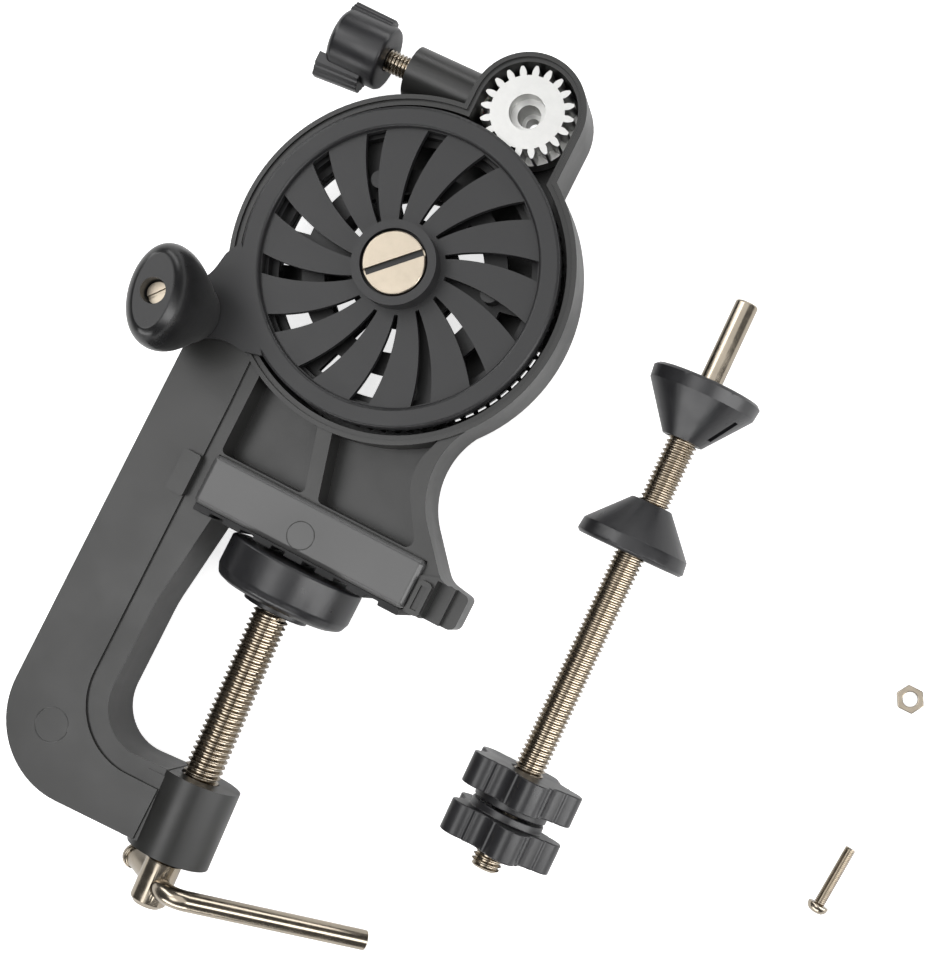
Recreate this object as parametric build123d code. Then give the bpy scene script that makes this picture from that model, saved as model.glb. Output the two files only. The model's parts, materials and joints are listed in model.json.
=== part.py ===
"""Hand-cranked winder on a table clamp, with its detachable winding spindle.

The winder lies on its back: +Z points out of the crank wheel's face, +Y runs from the clamp's
tommy bar towards the wheel, and +X points to the open side of the clamp's throat. The origin is
the wheel's axis at the back face of the gear case. All sizes are in millimetres.
"""
from build123d import *

import os
from math import acos, cos, degrees, pi, radians, sin, tan

# ---------------------------------------------------------------- driving dimensions
FRAME_DEPTH = 20.0          # depth of the moulded body, back face at z = 0
SLIDING_GAP = 0.06          # radial running clearance of screws, pins and bushes

MODULE = 1.1                # gear pair
DRIVE_TEETH = 73
PINION_TEETH = 20
PRESSURE_ANGLE = 20.0
BACKLASH = 0.22
PINION_DIRECTION = 77.5     # degrees from +X, seen from the front
CENTRE_DISTANCE = MODULE * (DRIVE_TEETH + PINION_TEETH) / 2
PINION_X = CENTRE_DISTANCE * cos(radians(PINION_DIRECTION))
PINION_Y = CENTRE_DISTANCE * sin(radians(PINION_DIRECTION))

CASE_RADIUS = 45.2          # outside of the drive gear's side of the case
CASE_WALL = 2.6
PINION_CASE_RADIUS = 15.3
PINION_CASE_WALL = 2.3
CASE_FLOOR = 2.0
RIM_STEP = 0.9              # inner half of the rim sits this much lower
HUB_WINDOWS = (13.0, 21.5)  # openings in the floor of the case
SPOKE_WIDTH = 5.0
SIDE_WINDOWS = (26.0, 36.0)
SIDE_SECTORS = ((150, 198), (208, 256), (266, 290))
TOOTH_SLOT = (38.4, 39.15)
TOOTH_SECTOR = (-46, -3)

RING_RADIUS = 41.3          # crank wheel
RING_INNER = 36.0
RING_BACK = 19.2
RING_FACE = 23.2
BLADES = 14
BLADE_Z = (19.2, 21.4)
SLOT_RADII = (12.2, 35.7)
SLOT_WIDTHS = (1.0, 5.2)
SLOT_DIRECTION = 23.5       # outer end of one slot
SLOT_SWEEP = 14.0           # turn of a slot from its outer end to the hub
HUB_RADIUS = 10.9
HUB_FACE = 28.0
CAP_RADIUS = 8.2            # slotted head of the axle screw
CAP_THICKNESS = 2.4
SLOT_CAP_DIRECTION = 44.0
AXLE_RADIUS = 4.0
WHEEL_BUSH_RADIUS = 6.0

HANDLE_RADIUS = 54.7        # crank throw
HANDLE_DIRECTION = 218.0
LUG_RADIUS = 7.0
LUG_BACK = 20.8
KNOB_BASE = RING_FACE + 0.4
KNOB_TOP = 53.5
KNOB_DIRECTION = 102.0      # long way of the knob's oval

GEAR_WEB_Z = (11.5, 14.0)   # drive gear
GEAR_TEETH_Z = (11.5, 17.6)
GEAR_RIM_INNER = 35.0
GEAR_WINDOWS = ((14.5, 21.0), (27.0, 33.2))
GEAR_SCREW_RADIUS = 24.0
GEAR_POST_RADIUS = 2.3

PINION_TOP = 18.9
BRAKE_Z = 9.0               # height of the brake screw's axis
BRAKE_Y = PINION_Y - 0.9
BRAKE_TUBE_RADIUS = 6.9
BRAKE_TUBE_END = -23.6
STUD_RADIUS = 3.0

JAW_Y = (-76.5, -63.0)      # fixed jaw
JAW_COVER_X = (-20.5, 40.5)
JAW_SEAT_Z = 17.0
JAW_FACE_Z = 22.2
JAW_PAD_X = (-19.9, 39.9)
JAW_PAD_THICKNESS = 1.9

SCREW_TILT = 3.5            # the lower arm and its screw lean towards the spine
SCREW_X, SCREW_Y, SCREW_Z = 11.9, -150.5, 10.0
BOSS_RADIUS = 11.2
BOSS_HALF = 10.6
SCREW_RADIUS = 5.0
CLAMP_NUT_RADIUS = 7.5
CLAMP_NUT_HALF = 8.0
TOMMY_Y = -18.6             # cross hole, below the middle of the boss
TOMMY_RISE = 51.5           # the hole's rise from +X towards +Z
TOMMY_BEND = 77.4
TOMMY_ARM = 53.0
TOMMY_LIFT = 6.4            # the arm's end is this much nearer the boss
TOMMY_TAIL = 18.5
TOMMY_BAR_RADIUS = 2.65
PAD_RADIUS = 18.6
PAD_X = 8.9
PAD_Y = (-91.0, -79.2)

FLOOR_Z = SCREW_Z - PAD_RADIUS     # the pad is the lowest point, so loose parts lie at this height
SPINDLE_X, SPINDLE_Y = 83.8, -46.2     # middle of the rod
SPINDLE_TURN = 1.7          # degrees from +Y
SPINDLE_LENGTH = 156.0      # from the plain end to as far below the rod's middle
ROD_TAIL = 1.6              # the threaded end goes on past that
STAR_RADIUS = 15.6
SPINDLE_Z = FLOOR_Z + STAR_RADIUS
ROD_RADIUS = 4.0
ROD_PLAIN_RADIUS = 3.0
ROD_PLAIN_LENGTH = 24.0
CONE_RADIUS = 14.6
STAR_INSERT_RADIUS = 5.6
STAR_NEAR_LOW = -61.1       # lower faces of the two hand nuts along the rod
STAR_FAR_LOW = -74.1
STAR_THICKNESS = 8.2
STAR_COLLAR = 2.1

SCREW_FRAME = Location((SCREW_X, SCREW_Y, SCREW_Z), (0, 0, SCREW_TILT))
SPINDLE_FRAME = Location((SPINDLE_X, SPINDLE_Y, SPINDLE_Z), (0, 0, SPINDLE_TURN))


# ---------------------------------------------------------------- helpers
def outline(*corners):
    """Closed face through (x, y, radius) corners, each corner rounded by its radius."""
    count = len(corners)
    joints = []
    for i, (x, y, radius) in enumerate(corners):
        here = Vector(x, y)
        back = (Vector(*corners[i - 1][:2]) - here).normalized()
        ahead = (Vector(*corners[(i + 1) % count][:2]) - here).normalized()
        half = radians(back.get_angle(ahead)) / 2
        reach = radius / tan(half)
        middle = here + (back + ahead).normalized() * (radius / sin(half) - radius)
        joints.append((here + back * reach, middle, here + ahead * reach, radius))
    edges = []
    for i, (start, middle, end, radius) in enumerate(joints):
        if radius > 0:
            edges.append(ThreePointArc(start, middle, end))
        edges.append(Line(end, joints[(i + 1) % count][0]))
    return make_face(edges)


def plate(face, z_low, z_high):
    return extrude(Pos(0, 0, z_low) * face, z_high - z_low)


def disc(radius, z_low, z_high, x=0.0, y=0.0):
    return Pos(x, y, (z_low + z_high) / 2) * Cylinder(radius, z_high - z_low)


def tube(outer, inner, z_low, z_high, x=0.0, y=0.0):
    return disc(outer, z_low, z_high, x, y) - disc(inner, z_low - 1, z_high + 1, x, y)


def block(x_range, y_range, z_range):
    (x0, x1), (y0, y1), (z0, z1) = x_range, y_range, z_range
    return Pos((x0 + x1) / 2, (y0 + y1) / 2, (z0 + z1) / 2) * Box(x1 - x0, y1 - y0, z1 - z0)


def bar_y(radius, y_low, y_high):
    """Round bar along +Y, about the local origin."""
    return Pos(0, (y_low + y_high) / 2, 0) * Rot(90, 0, 0) * Cylinder(radius, y_high - y_low)


def bar_x(radius, x_low, x_high, y, z):
    return Pos((x_low + x_high) / 2, y, z) * Rot(0, 90, 0) * Cylinder(radius, x_high - x_low)


def turned_y(profile):
    """Solid of revolution about the local Y axis from (radius, y) corners."""
    return revolve(make_face(Polyline(*profile, close=True)), Axis.Y)


def around(count, start, solid):
    return [Rot(0, 0, start + 360 * i / count) * solid for i in range(count)]


def polar(radius, angle):
    return radius * cos(radians(angle)), radius * sin(radians(angle))


def involute_gear(teeth, turn):
    """Spur gear face; `turn` is the direction of one tooth in degrees."""
    pitch = MODULE * teeth / 2
    base = pitch * cos(radians(PRESSURE_ANGLE))
    root, tip = pitch - 1.25 * MODULE, pitch + MODULE
    inv = lambda angle: tan(angle) - angle
    half_at_pitch = pi / (2 * teeth) - BACKLASH / (4 * pitch)
    start = max(base, root)
    flank = []
    for k in range(5):
        radius = start + (tip - start) * k / 4
        half = half_at_pitch + inv(radians(PRESSURE_ANGLE)) - inv(acos(base / radius))
        flank.append((radius, degrees(half)))
    if root < base:
        flank.insert(0, (root, flank[0][1]))
    points = []
    for tooth in range(teeth):
        middle = turn + 360 * tooth / teeth
        points += [polar(radius, middle - half) for radius, half in flank]
        points += [polar(radius, middle + half) for radius, half in reversed(flank)]
    return make_face(Polyline(*points, close=True))


def ring_windows(inner, outer, spokes, spoke_width, turn=0.0):
    """Ring-shaped openings between radial spokes."""
    ring = Circle(outer) - Circle(inner)
    for i in range(spokes):
        ring -= Rot(0, 0, turn + 360 * i / spokes) * Pos(outer / 2, 0) * Rectangle(outer, spoke_width)
    return ring


def sector(inner, outer, low, high):
    """Ring-shaped opening between two directions, less than a half turn apart."""
    corners = [(2 * outer * cos(radians(a)), 2 * outer * sin(radians(a)))
               for a in (low, (low + high) / 2, high)]
    return (Circle(outer) - Circle(inner)) & Polygon((0, 0), *corners, align=None)


# ---------------------------------------------------------------- gear case
def case_face(offset):
    """Figure-eight plan of the case, grown by `offset`."""
    small = PINION_CASE_RADIUS + offset
    return (Circle(CASE_RADIUS + offset) + Pos(PINION_X, PINION_Y) * Circle(small)
            + Pos(PINION_X, PINION_Y / 2 + 10) * Rectangle(2 * small, PINION_Y - 20))


def gear_case():
    cavity = (Circle(CASE_RADIUS - CASE_WALL)
              + Pos(PINION_X, PINION_Y) * Circle(PINION_CASE_RADIUS - PINION_CASE_WALL)
              + Pos(PINION_X, PINION_Y / 2 + 12)
              * Rectangle(2 * (PINION_CASE_RADIUS - PINION_CASE_WALL), PINION_Y - 24))
    body = plate(case_face(0), 0, FRAME_DEPTH) - plate(cavity, CASE_FLOOR, FRAME_DEPTH + 1)
    body -= plate(case_face(-1.2), FRAME_DEPTH - RIM_STEP, FRAME_DEPTH + 1)
    openings = ring_windows(*HUB_WINDOWS, 6, SPOKE_WIDTH, 20) + sector(*TOOTH_SLOT, *TOOTH_SECTOR)
    for low, high in SIDE_SECTORS:
        openings += sector(*SIDE_WINDOWS, low, high)
    body -= plate(openings, -1, CASE_FLOOR + 1)
    body += disc(11.0, 0, 8.0)
    body += disc(PINION_CASE_RADIUS - 3.5, 0, 4.6, PINION_X, PINION_Y)
    body -= disc(4.6, 1.0, 9.0)
    body -= disc(7.0, 1.5, 5.0, PINION_X, PINION_Y)
    body -= disc(7.4, -1, 1.5, PINION_X, PINION_Y)
    brake_tube = bar_x(BRAKE_TUBE_RADIUS, BRAKE_TUBE_END, PINION_X - PINION_CASE_RADIUS + 1.2,
                       BRAKE_Y, BRAKE_Z)
    shoulder = block((-12.0, -2.0), (38.0, BRAKE_Y + 4.5), (1.0, 14.0))
    body += (brake_tube + shoulder) - plate(case_face(-1.0), -5, FRAME_DEPTH + 5)
    body -= bar_x(STUD_RADIUS + SLIDING_GAP, BRAKE_TUBE_END - 1, 0, BRAKE_Y, BRAKE_Z)
    return body


# ---------------------------------------------------------------- clamp frame
def clamp_frame():
    """C-shaped arm with its web, fixed jaw and screw boss, all one moulding with the case."""
    lower_slope = tan(radians(3.2))
    low = lambda x: -161.2 + (x + 21.4) * lower_slope
    inner = lambda x: -140.3 + (x - 2.8) * tan(radians(5.0))
    plan = outline((-42, 0, 0), (-42, low(-42), 23), (5, low(5), 0), (5, inner(5), 0),
                   (-18, inner(-18), 13), (-18, -104, 40), (-14.5, JAW_Y[0], 3),
                   (53, JAW_Y[0], 2), (53, -66.8, 1.5), (45.5, -65.6, 6), (26, -43, 22),
                   (40, -20, 3), (20, 0, 0))
    body = plate(plan, 0, FRAME_DEPTH)

    band = outline((-25, 0, 0), (-24, -50, 0), (-24, low(-24) + 14.5, 19), (5, inner(5) - 5.6, 0),
                   (5, -100, 0), (10, -77, 0), (60, -60, 0), (30, 0, 0))
    body -= plate(band, FRAME_DEPTH - 1.0, FRAME_DEPTH + 1)

    left_panel = outline((-20.5, 0, 0), (-20.5, JAW_Y[1] + 0.6, 1.5), (4.2, JAW_Y[1] + 0.6, 1.5),
                         (-2.2, -40, 0), (-2.2, 0, 0))
    right_panel = outline((3.2, 0, 0), (3.2, -44, 0), (8.2, JAW_Y[1] + 0.6, 1.5),
                          (36.6, JAW_Y[1] + 0.6, 2), (25.5, -45, 14), (29.5, -33, 3), (20, 0, 0))
    body -= plate(left_panel + right_panel, 9.0, FRAME_DEPTH + 1)

    body -= block(JAW_COVER_X, JAW_Y, (JAW_SEAT_Z, FRAME_DEPTH + 1))
    body -= block(JAW_PAD_X, (JAW_Y[0] - JAW_PAD_THICKNESS, JAW_Y[0]), (0, FRAME_DEPTH + 1))
    body -= block((45.2, 60), (-90, -66.0), (14.0, FRAME_DEPTH + 1))
    body -= block((49.4, 60), (-90, -66.0), (11.0, FRAME_DEPTH + 1))
    body += plate(outline((-28.6, -76.8, 0.8), (-23.6, -76.8, 0.8), (-23.6, -65.4, 0.8),
                          (-28.6, -65.4, 0.8)), FRAME_DEPTH - 2, 22.0)
    body += plate(outline((41.2, -76.5, 1.2), (44.9, -76.5, 1.2), (44.9, -67.4, 1.2),
                          (41.2, -67.4, 1.2)), FRAME_DEPTH - 4, 22.0)
    body -= plate(case_face(0), -1, FRAME_DEPTH + 1)

    boss = SCREW_FRAME * (bar_y(BOSS_RADIUS, -BOSS_HALF, BOSS_HALF)
                          + block((-BOSS_RADIUS, 0), (-9.0, 9.0), (-9.8, 9.2)))
    body = body + boss
    body -= SCREW_FRAME * bar_y(SCREW_RADIUS + 0.25, -BOSS_HALF - 1, BOSS_HALF + 1)
    body -= SCREW_FRAME * bar_y(CLAMP_NUT_RADIUS, -CLAMP_NUT_HALF, CLAMP_NUT_HALF)
    return body


def jaw_cover():
    """Smooth plate that closes the jaw's open front between its two end stops."""
    (x0, x1), (y0, y1) = JAW_COVER_X, JAW_Y
    face = outline((x0, y0, 1.5), (x1, y0, 1.5), (x1, y1, 1.5), (x0, y1, 1.5))
    body = plate(face, JAW_SEAT_Z, JAW_FACE_Z)
    return chamfer(body.edges().group_by(Axis.Z)[-1], 1.0)


def jaw_pad():
    """Ribbed grip strip under the fixed jaw."""
    strip = block(JAW_PAD_X, (JAW_Y[0] - JAW_PAD_THICKNESS, JAW_Y[0]), (0.6, 21.0))
    for i in range(6):
        x = -13.2 + 9.1 * i
        strip -= block((x - 1.9, x + 1.9), (JAW_Y[0] - 2.5, JAW_Y[0] - 0.9), (-1, 22))
    return strip


# ---------------------------------------------------------------- crank wheel and drive gear
def blade_slot(grow=0.0):
    """Curved slot, narrow at the hub and wide at the ring."""
    steps = 8
    near, far = SLOT_RADII
    sides = ([], [])
    for k in range(steps + 1):
        part = k / steps
        radius = near + (far - near) * part
        half = (SLOT_WIDTHS[0] + (SLOT_WIDTHS[1] - SLOT_WIDTHS[0]) * part) / 2 + grow
        angle = SLOT_DIRECTION + SLOT_SWEEP * (1 - part)
        for side, sign in zip(sides, (-1, 1)):
            x, y = polar(radius, angle)
            across = angle + 90 * sign
            side.append((x + half * cos(radians(across)), y + half * sin(radians(across))))
    right, left = sides
    return make_face([Spline(*right), Line(right[-1], left[-1]), Spline(*reversed(left)),
                      Line(left[0], right[0])])


def crank_wheel():
    body = tube(RING_RADIUS, RING_INNER, RING_BACK, RING_FACE)
    rim_edges = body.edges().filter_by(GeomType.CIRCLE).group_by(Axis.Z)[-1]
    body = fillet(rim_edges, 0.9)
    blades = disc(RING_INNER + 1.0, *BLADE_Z)
    slot = plate(blade_slot(), BLADE_Z[0] - 1, BLADE_Z[1] + 1)
    for turned in around(BLADES, 0, slot):
        blades -= turned
    body += blades
    body += disc(HUB_RADIUS, 9.1, HUB_FACE)
    for post in around(3, 10, disc(GEAR_POST_RADIUS, GEAR_WEB_Z[1], BLADE_Z[0] + 0.2, GEAR_SCREW_RADIUS)):
        body += post

    lug_turn = Rot(0, 0, HANDLE_DIRECTION)
    lug = lug_turn * (outline((38.5, -15, 0), (43.0, -13.0, 3), (49.5, -LUG_RADIUS, 14),
                              (HANDLE_RADIUS, -LUG_RADIUS, 0), (HANDLE_RADIUS, LUG_RADIUS, 0),
                              (49.5, LUG_RADIUS, 14), (43.0, 13.0, 3), (38.5, 15, 0))
                      + Pos(HANDLE_RADIUS, 0) * Circle(LUG_RADIUS))
    body += plate(lug, LUG_BACK, RING_FACE)

    body -= disc(WHEEL_BUSH_RADIUS, 9.0, HUB_FACE + 1)
    body -= disc(CAP_RADIUS + 0.5, HUB_FACE - CAP_THICKNESS - 0.3, HUB_FACE + 1)
    body -= Pos(*polar(HANDLE_RADIUS, HANDLE_DIRECTION)) * disc(3.3, LUG_BACK - 1, RING_FACE + 1)
    for hole in around(3, 10, Pos(GEAR_SCREW_RADIUS, 0, 15.5) * Cylinder(1.25, 7.0)):
        body -= hole
    return body


def drive_gear():
    body = plate(involute_gear(DRIVE_TEETH, PINION_DIRECTION), *GEAR_TEETH_Z)
    body -= disc(GEAR_RIM_INNER, GEAR_WEB_Z[1], GEAR_TEETH_Z[1] + 1)
    for inner, outer in GEAR_WINDOWS:
        body -= plate(ring_windows(inner, outer, 6, 6.0, 10), GEAR_WEB_Z[0] - 1, GEAR_WEB_Z[1] + 1)
    body -= disc(HUB_RADIUS, 0, 30)
    for hole in around(3, 10, Pos(GEAR_SCREW_RADIUS, 0, 12.7) * Cylinder(1.25, 6.0)):
        body -= hole
    return body


def gear_screws():
    """Three self-tapping screws that hold the drive gear to the wheel's posts."""
    screw = Pos(0, 0, 14.6) * Cylinder(1.25, 6.2) + Pos(0, 0, 10.75) * Cylinder(2.4, 1.5)
    return Compound(around(3, 10, Pos(GEAR_SCREW_RADIUS, 0, 0) * screw))


def wheel_bush():
    return tube(WHEEL_BUSH_RADIUS, AXLE_RADIUS + SLIDING_GAP, 9.1, HUB_FACE - CAP_THICKNESS - 0.35)


def thrust_washer():
    return tube(8.4, AXLE_RADIUS, 8.0, 8.9)


def axle_insert():
    return tube(4.6, STUD_RADIUS, 1.0, 8.0)


def axle_screw():
    """Shoulder screw with a wide slotted head that carries the crank wheel."""
    seat = HUB_FACE - CAP_THICKNESS - 0.1
    body = disc(STUD_RADIUS, 1.6, 8.0) + disc(AXLE_RADIUS, 8.0, seat)
    head = disc(CAP_RADIUS, seat, HUB_FACE - 0.1)
    head = chamfer(head.edges().group_by(Axis.Z)[-1], 0.35)
    slot = Rot(0, 0, SLOT_CAP_DIRECTION) * Pos(0, 0, HUB_FACE) * Box(2 * CAP_RADIUS + 1, 1.7, 3.2)
    return body + (head - slot)


# ---------------------------------------------------------------- crank handle
def handle_place():
    return Pos(*polar(HANDLE_RADIUS, HANDLE_DIRECTION))


def handle_insert():
    return handle_place() * tube(3.3, 1.8, LUG_BACK, RING_FACE)


def handle_screw():
    """Slotted shoulder screw that the knob turns on."""
    seat = KNOB_TOP - 6.2
    body = disc(1.8, LUG_BACK + 0.2, RING_FACE) + disc(2.1, RING_FACE, seat)
    slot = Rot(0, 0, 50) * Pos(0, 0, seat + 2.1) * Box(8, 0.9, 1.6)
    head = disc(2.9, seat, seat + 2.1) - slot
    return handle_place() * (body + head)


def handle_knob():
    """Oval knob, round where it meets the crank and wide at its top."""
    sections = ((KNOB_BASE, 8.2, 7.8), (27.5, 9.2, 8.1), (35.0, 12.0, 8.6), (43.5, 13.3, 8.6),
                (49.5, 12.6, 7.7), (KNOB_TOP, 9.4, 4.8))
    body = loft([Pos(0, 0, z) * Rot(0, 0, KNOB_DIRECTION) * Ellipse(a, b) for z, a, b in sections])
    body -= disc(2.1 + SLIDING_GAP, KNOB_BASE - 1, KNOB_TOP + 1)
    body -= disc(3.25, KNOB_TOP - 6.4, KNOB_TOP + 1)
    return handle_place() * body


# ---------------------------------------------------------------- pinion and brake
def pinion_turn():
    """Tooth direction that puts a pinion gap on the drive gear's tooth at the meshing point."""
    return PINION_DIRECTION + 180 + 180 / PINION_TEETH


def pinion_gear():
    """Aluminium pinion with a brake drum, a journal and the stepped socket for the spindle."""
    body = plate(involute_gear(PINION_TEETH, pinion_turn()), 10.8, PINION_TOP)
    body += disc(12.0, 4.9, 10.8) + disc(5.0, 0.5, 4.9)
    body -= disc(4.7, 14.4, PINION_TOP + 1)
    body -= disc(ROD_PLAIN_RADIUS + 0.05, 6.0, PINION_TOP)
    body -= disc(1.8, -1, PINION_TOP)
    body -= tube(6.0, 4.4, 0.9, 1.5)
    return Pos(PINION_X, PINION_Y) * body


def pinion_bush():
    return tube(7.0, 5.0 + SLIDING_GAP, 1.5, 4.7, PINION_X, PINION_Y)


def pinion_clip():
    return tube(6.6, 4.4, 0.9, 1.4, PINION_X, PINION_Y)


def brake_stud():
    return bar_x(STUD_RADIUS, -46.0, -4.6, BRAKE_Y, BRAKE_Z)


def brake_plug():
    """Friction plug that the wing screw pushes against the pinion's drum."""
    return bar_x(STUD_RADIUS, -4.6, PINION_X - 12.0 - 0.4, BRAKE_Y, BRAKE_Z)


def wing_knob():
    """Round knob with two wings, moulded round the brake stud."""
    barrel = bar_x(8.6, -46.5, -31.0, BRAKE_Y, BRAKE_Z)
    crown = Pos(-46.5, BRAKE_Y, BRAKE_Z) * Sphere(8.6)
    crown &= block((-50.0, -46.5), (0, 99), (-20, 40))
    wings = block((-48.5, -34.5), (BRAKE_Y - 11.2, BRAKE_Y + 11.2), (BRAKE_Z - 3.6, BRAKE_Z + 3.6))
    wings = fillet(wings.edges().filter_by(Axis.Z), 2.0)
    return barrel + crown + wings - bar_x(STUD_RADIUS, -46.0, -30.0, BRAKE_Y, BRAKE_Z)


# ---------------------------------------------------------------- clamp screw and pad
def clamp_nut():
    """Threaded insert moulded into the boss."""
    bore = bar_y(SCREW_RADIUS + SLIDING_GAP, -20, 20)
    return SCREW_FRAME * (bar_y(CLAMP_NUT_RADIUS, -CLAMP_NUT_HALF, CLAMP_NUT_HALF) - bore)


def tommy_hole_place():
    return Pos(0, TOMMY_Y, 0) * Rot(0, -TOMMY_RISE, 0)


def clamp_screw():
    """Clamp screw with a drilled head below the boss and a ball end inside the pad."""
    body = turned_y(((0, -24.8), (3.6, -24.8), (4.8, -23.6), (4.8, -13.2), (SCREW_RADIUS, -12.6),
                     (SCREW_RADIUS, 56.2), (4.2, 57.0), (3.0, 57.0), (3.0, 62.0), (4.4, 62.0),
                     (4.4, 65.0), (3.0, 66.5), (0, 66.5)))
    body -= tommy_hole_place() * (Rot(0, 90, 0) * Cylinder(TOMMY_BAR_RADIUS + SLIDING_GAP, 30))
    return SCREW_FRAME * body


def tommy_bar():
    """Bent bar through the screw's head: one short upset end, one long arm."""
    elbow = 10.6
    drop = radians(TOMMY_BEND)
    far = (elbow + TOMMY_ARM * cos(drop), TOMMY_LIFT, -TOMMY_ARM * sin(drop))
    path = FilletPolyline((-TOMMY_TAIL, 0, 0), (elbow, 0, 0), far, radius=6.4)
    arm = sweep(Plane(origin=path @ 0, z_dir=path % 0) * Circle(TOMMY_BAR_RADIUS), path=path)
    upset_end = Pos(-TOMMY_TAIL, 0, 0) * Rot(0, 90, 0) * Cylinder(3.4, 1.6)
    return SCREW_FRAME * tommy_hole_place() * (arm + upset_end)


def swivel_pad():
    """Round pressure pad with a socket for the screw's ball end."""
    low, high = PAD_Y
    body = turned_y(((0, low), (PAD_RADIUS - 3.4, low), (PAD_RADIUS - 1.0, low + 0.9),
                     (PAD_RADIUS, low + 3.4), (PAD_RADIUS, high), (0, high)))
    body -= bar_y(5.6, low - 1, low + 8.6)
    return Pos(PAD_X, 0, SCREW_Z) * body


def pad_retainer():
    """Ring that keeps the ball end in the pad."""
    low = PAD_Y[0]
    return Pos(PAD_X, 0, SCREW_Z) * (bar_y(8.9, low - 1.9, low) - bar_y(4.2, low - 3, low + 1))


# ---------------------------------------------------------------- winding spindle
def spindle_rod():
    """Threaded rod, turned down at the end that plugs into the pinion."""
    half = SPINDLE_LENGTH / 2
    step = half - ROD_PLAIN_LENGTH
    low = -half - ROD_TAIL
    body = turned_y(((0, low), (ROD_RADIUS - 0.8, low), (ROD_RADIUS, low + 0.8),
                     (ROD_RADIUS, step), (ROD_PLAIN_RADIUS, step), (ROD_PLAIN_RADIUS, half - 0.5),
                     (ROD_PLAIN_RADIUS - 0.5, half), (0, half)))
    slot = block((-5, 5), (low - 1, low + 1.4), (-0.5, 0.5))
    return SPINDLE_FRAME * (body - slot)


def spool_cone(rim_y, direction, depth):
    """Hollow centring cone; its rim faces `direction` along the rod."""
    bore = ROD_RADIUS + SLIDING_GAP
    outer = ((bore, 0), (CONE_RADIUS - 0.8, 0), (CONE_RADIUS, -0.8), (CONE_RADIUS - 0.4, -4.0),
             (5.4, -depth), (bore, -depth))
    body = turned_y(outer)
    hollow = turned_y(((6.6, 1), (12.6, 1), (12.0, -3.4), (6.6, 4.6 - depth)))
    ribs = block((-1, 1), (-20, 0), (0, 20))
    for i in range(4):
        hollow -= Rot(0, 90 * i + 45, 0) * ribs
    body -= hollow
    if direction < 0:
        body = Rot(180, 0, 0) * body
    return SPINDLE_FRAME * (Pos(0, rim_y, 0) * body)


def upper_cone():
    return spool_cone(55.0, 1, 15.6)


def lower_cone():
    return spool_cone(7.7, -1, 13.9)


def star_nut(y_low, collar_up):
    """Five-lobed hand nut with a round collar on the side that meets its twin."""
    lobes = Circle(12.6)
    for i in range(5):
        lobes += Rot(0, 0, 72 * i) * Pos(11.4, 0) * Circle(STAR_RADIUS - 11.4)
    for i in range(5):
        lobes -= Rot(0, 0, 72 * i + 36) * Pos(14.8, 0) * Circle(3.6)
    y_high = y_low + STAR_THICKNESS
    body = Pos(0, y_high, 0) * Rot(90, 0, 0) * extrude(lobes, STAR_THICKNESS)
    collar = bar_y(9.8, y_high, y_high + STAR_COLLAR) if collar_up else bar_y(9.8, y_low - STAR_COLLAR, y_low)
    body = body + collar - bar_y(ROD_RADIUS + 0.25, y_low - 9, y_low + 19)
    return SPINDLE_FRAME * (body - bar_y(STAR_INSERT_RADIUS + SLIDING_GAP, *star_insert_span(y_low)))


def star_insert_span(y_low):
    return y_low + 1.5, y_low + STAR_THICKNESS - 1.5


def star_insert(y_low):
    low, high = star_insert_span(y_low)
    bore = bar_y(ROD_RADIUS + SLIDING_GAP, low - 1, high + 1)
    return SPINDLE_FRAME * (bar_y(STAR_INSERT_RADIUS, low + 0.02, high - 0.02) - bore)


# ---------------------------------------------------------------- loose fasteners
def loose_screw():
    """Pan-head machine screw lying on its side."""
    body = turned_y(((0, -9.2), (1.6, -9.2), (2.6, -8.2), (2.7, -6.9), (1.45, -6.9), (1.45, 9.0),
                     (1.2, 9.4), (0, 9.4)))
    return Pos(165.6, -88.8, FLOOR_Z + 2.7) * Rot(0, 0, -3.0) * body


def loose_nut():
    face = RegularPolygon(3.7, 6) - Circle(1.9)
    return Pos(162.4, -39.2, FLOOR_Z) * extrude(face, 2.4)


NODES = {
    "gear_case": gear_case, "clamp_frame": clamp_frame, "jaw_cover": jaw_cover, "jaw_pad": jaw_pad,
    "axle_insert": axle_insert, "axle_screw": axle_screw, "thrust_washer": thrust_washer,
    "pinion_bush": pinion_bush, "clamp_nut": clamp_nut,
    "crank_wheel": crank_wheel, "drive_gear": drive_gear, "gear_screws": gear_screws,
    "wheel_bush": wheel_bush, "handle_insert": handle_insert, "handle_screw": handle_screw,
    "handle_knob": handle_knob,
    "pinion_gear": pinion_gear, "pinion_clip": pinion_clip,
    "brake_stud": brake_stud, "brake_plug": brake_plug, "wing_knob": wing_knob,
    "clamp_screw": clamp_screw, "tommy_bar": tommy_bar, "swivel_pad": swivel_pad,
    "pad_retainer": pad_retainer,
    "spindle_rod": spindle_rod, "upper_cone": upper_cone, "lower_cone": lower_cone,
    "star_nut_near": lambda: star_nut(STAR_NEAR_LOW, False),
    "star_nut_far": lambda: star_nut(STAR_FAR_LOW, True),
    "star_insert_near": lambda: star_insert(STAR_NEAR_LOW),
    "star_insert_far": lambda: star_insert(STAR_FAR_LOW),
    "loose_screw": loose_screw, "loose_nut": loose_nut,
}


def main():
    os.makedirs("parts", exist_ok=True)
    for name, make in NODES.items():
        export_step(make(), f"parts/{name}.step")


if __name__ == "__main__":
    main()
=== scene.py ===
"""Table-clamp line and yarn winder: finished pieces and stage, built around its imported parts."""

import json
from math import cos, pi, radians, sin

import bmesh
import bpy
from bpy.props import FloatProperty, FloatVectorProperty, IntProperty, PointerProperty
from mathutils import Euler, Matrix, Vector


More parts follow.
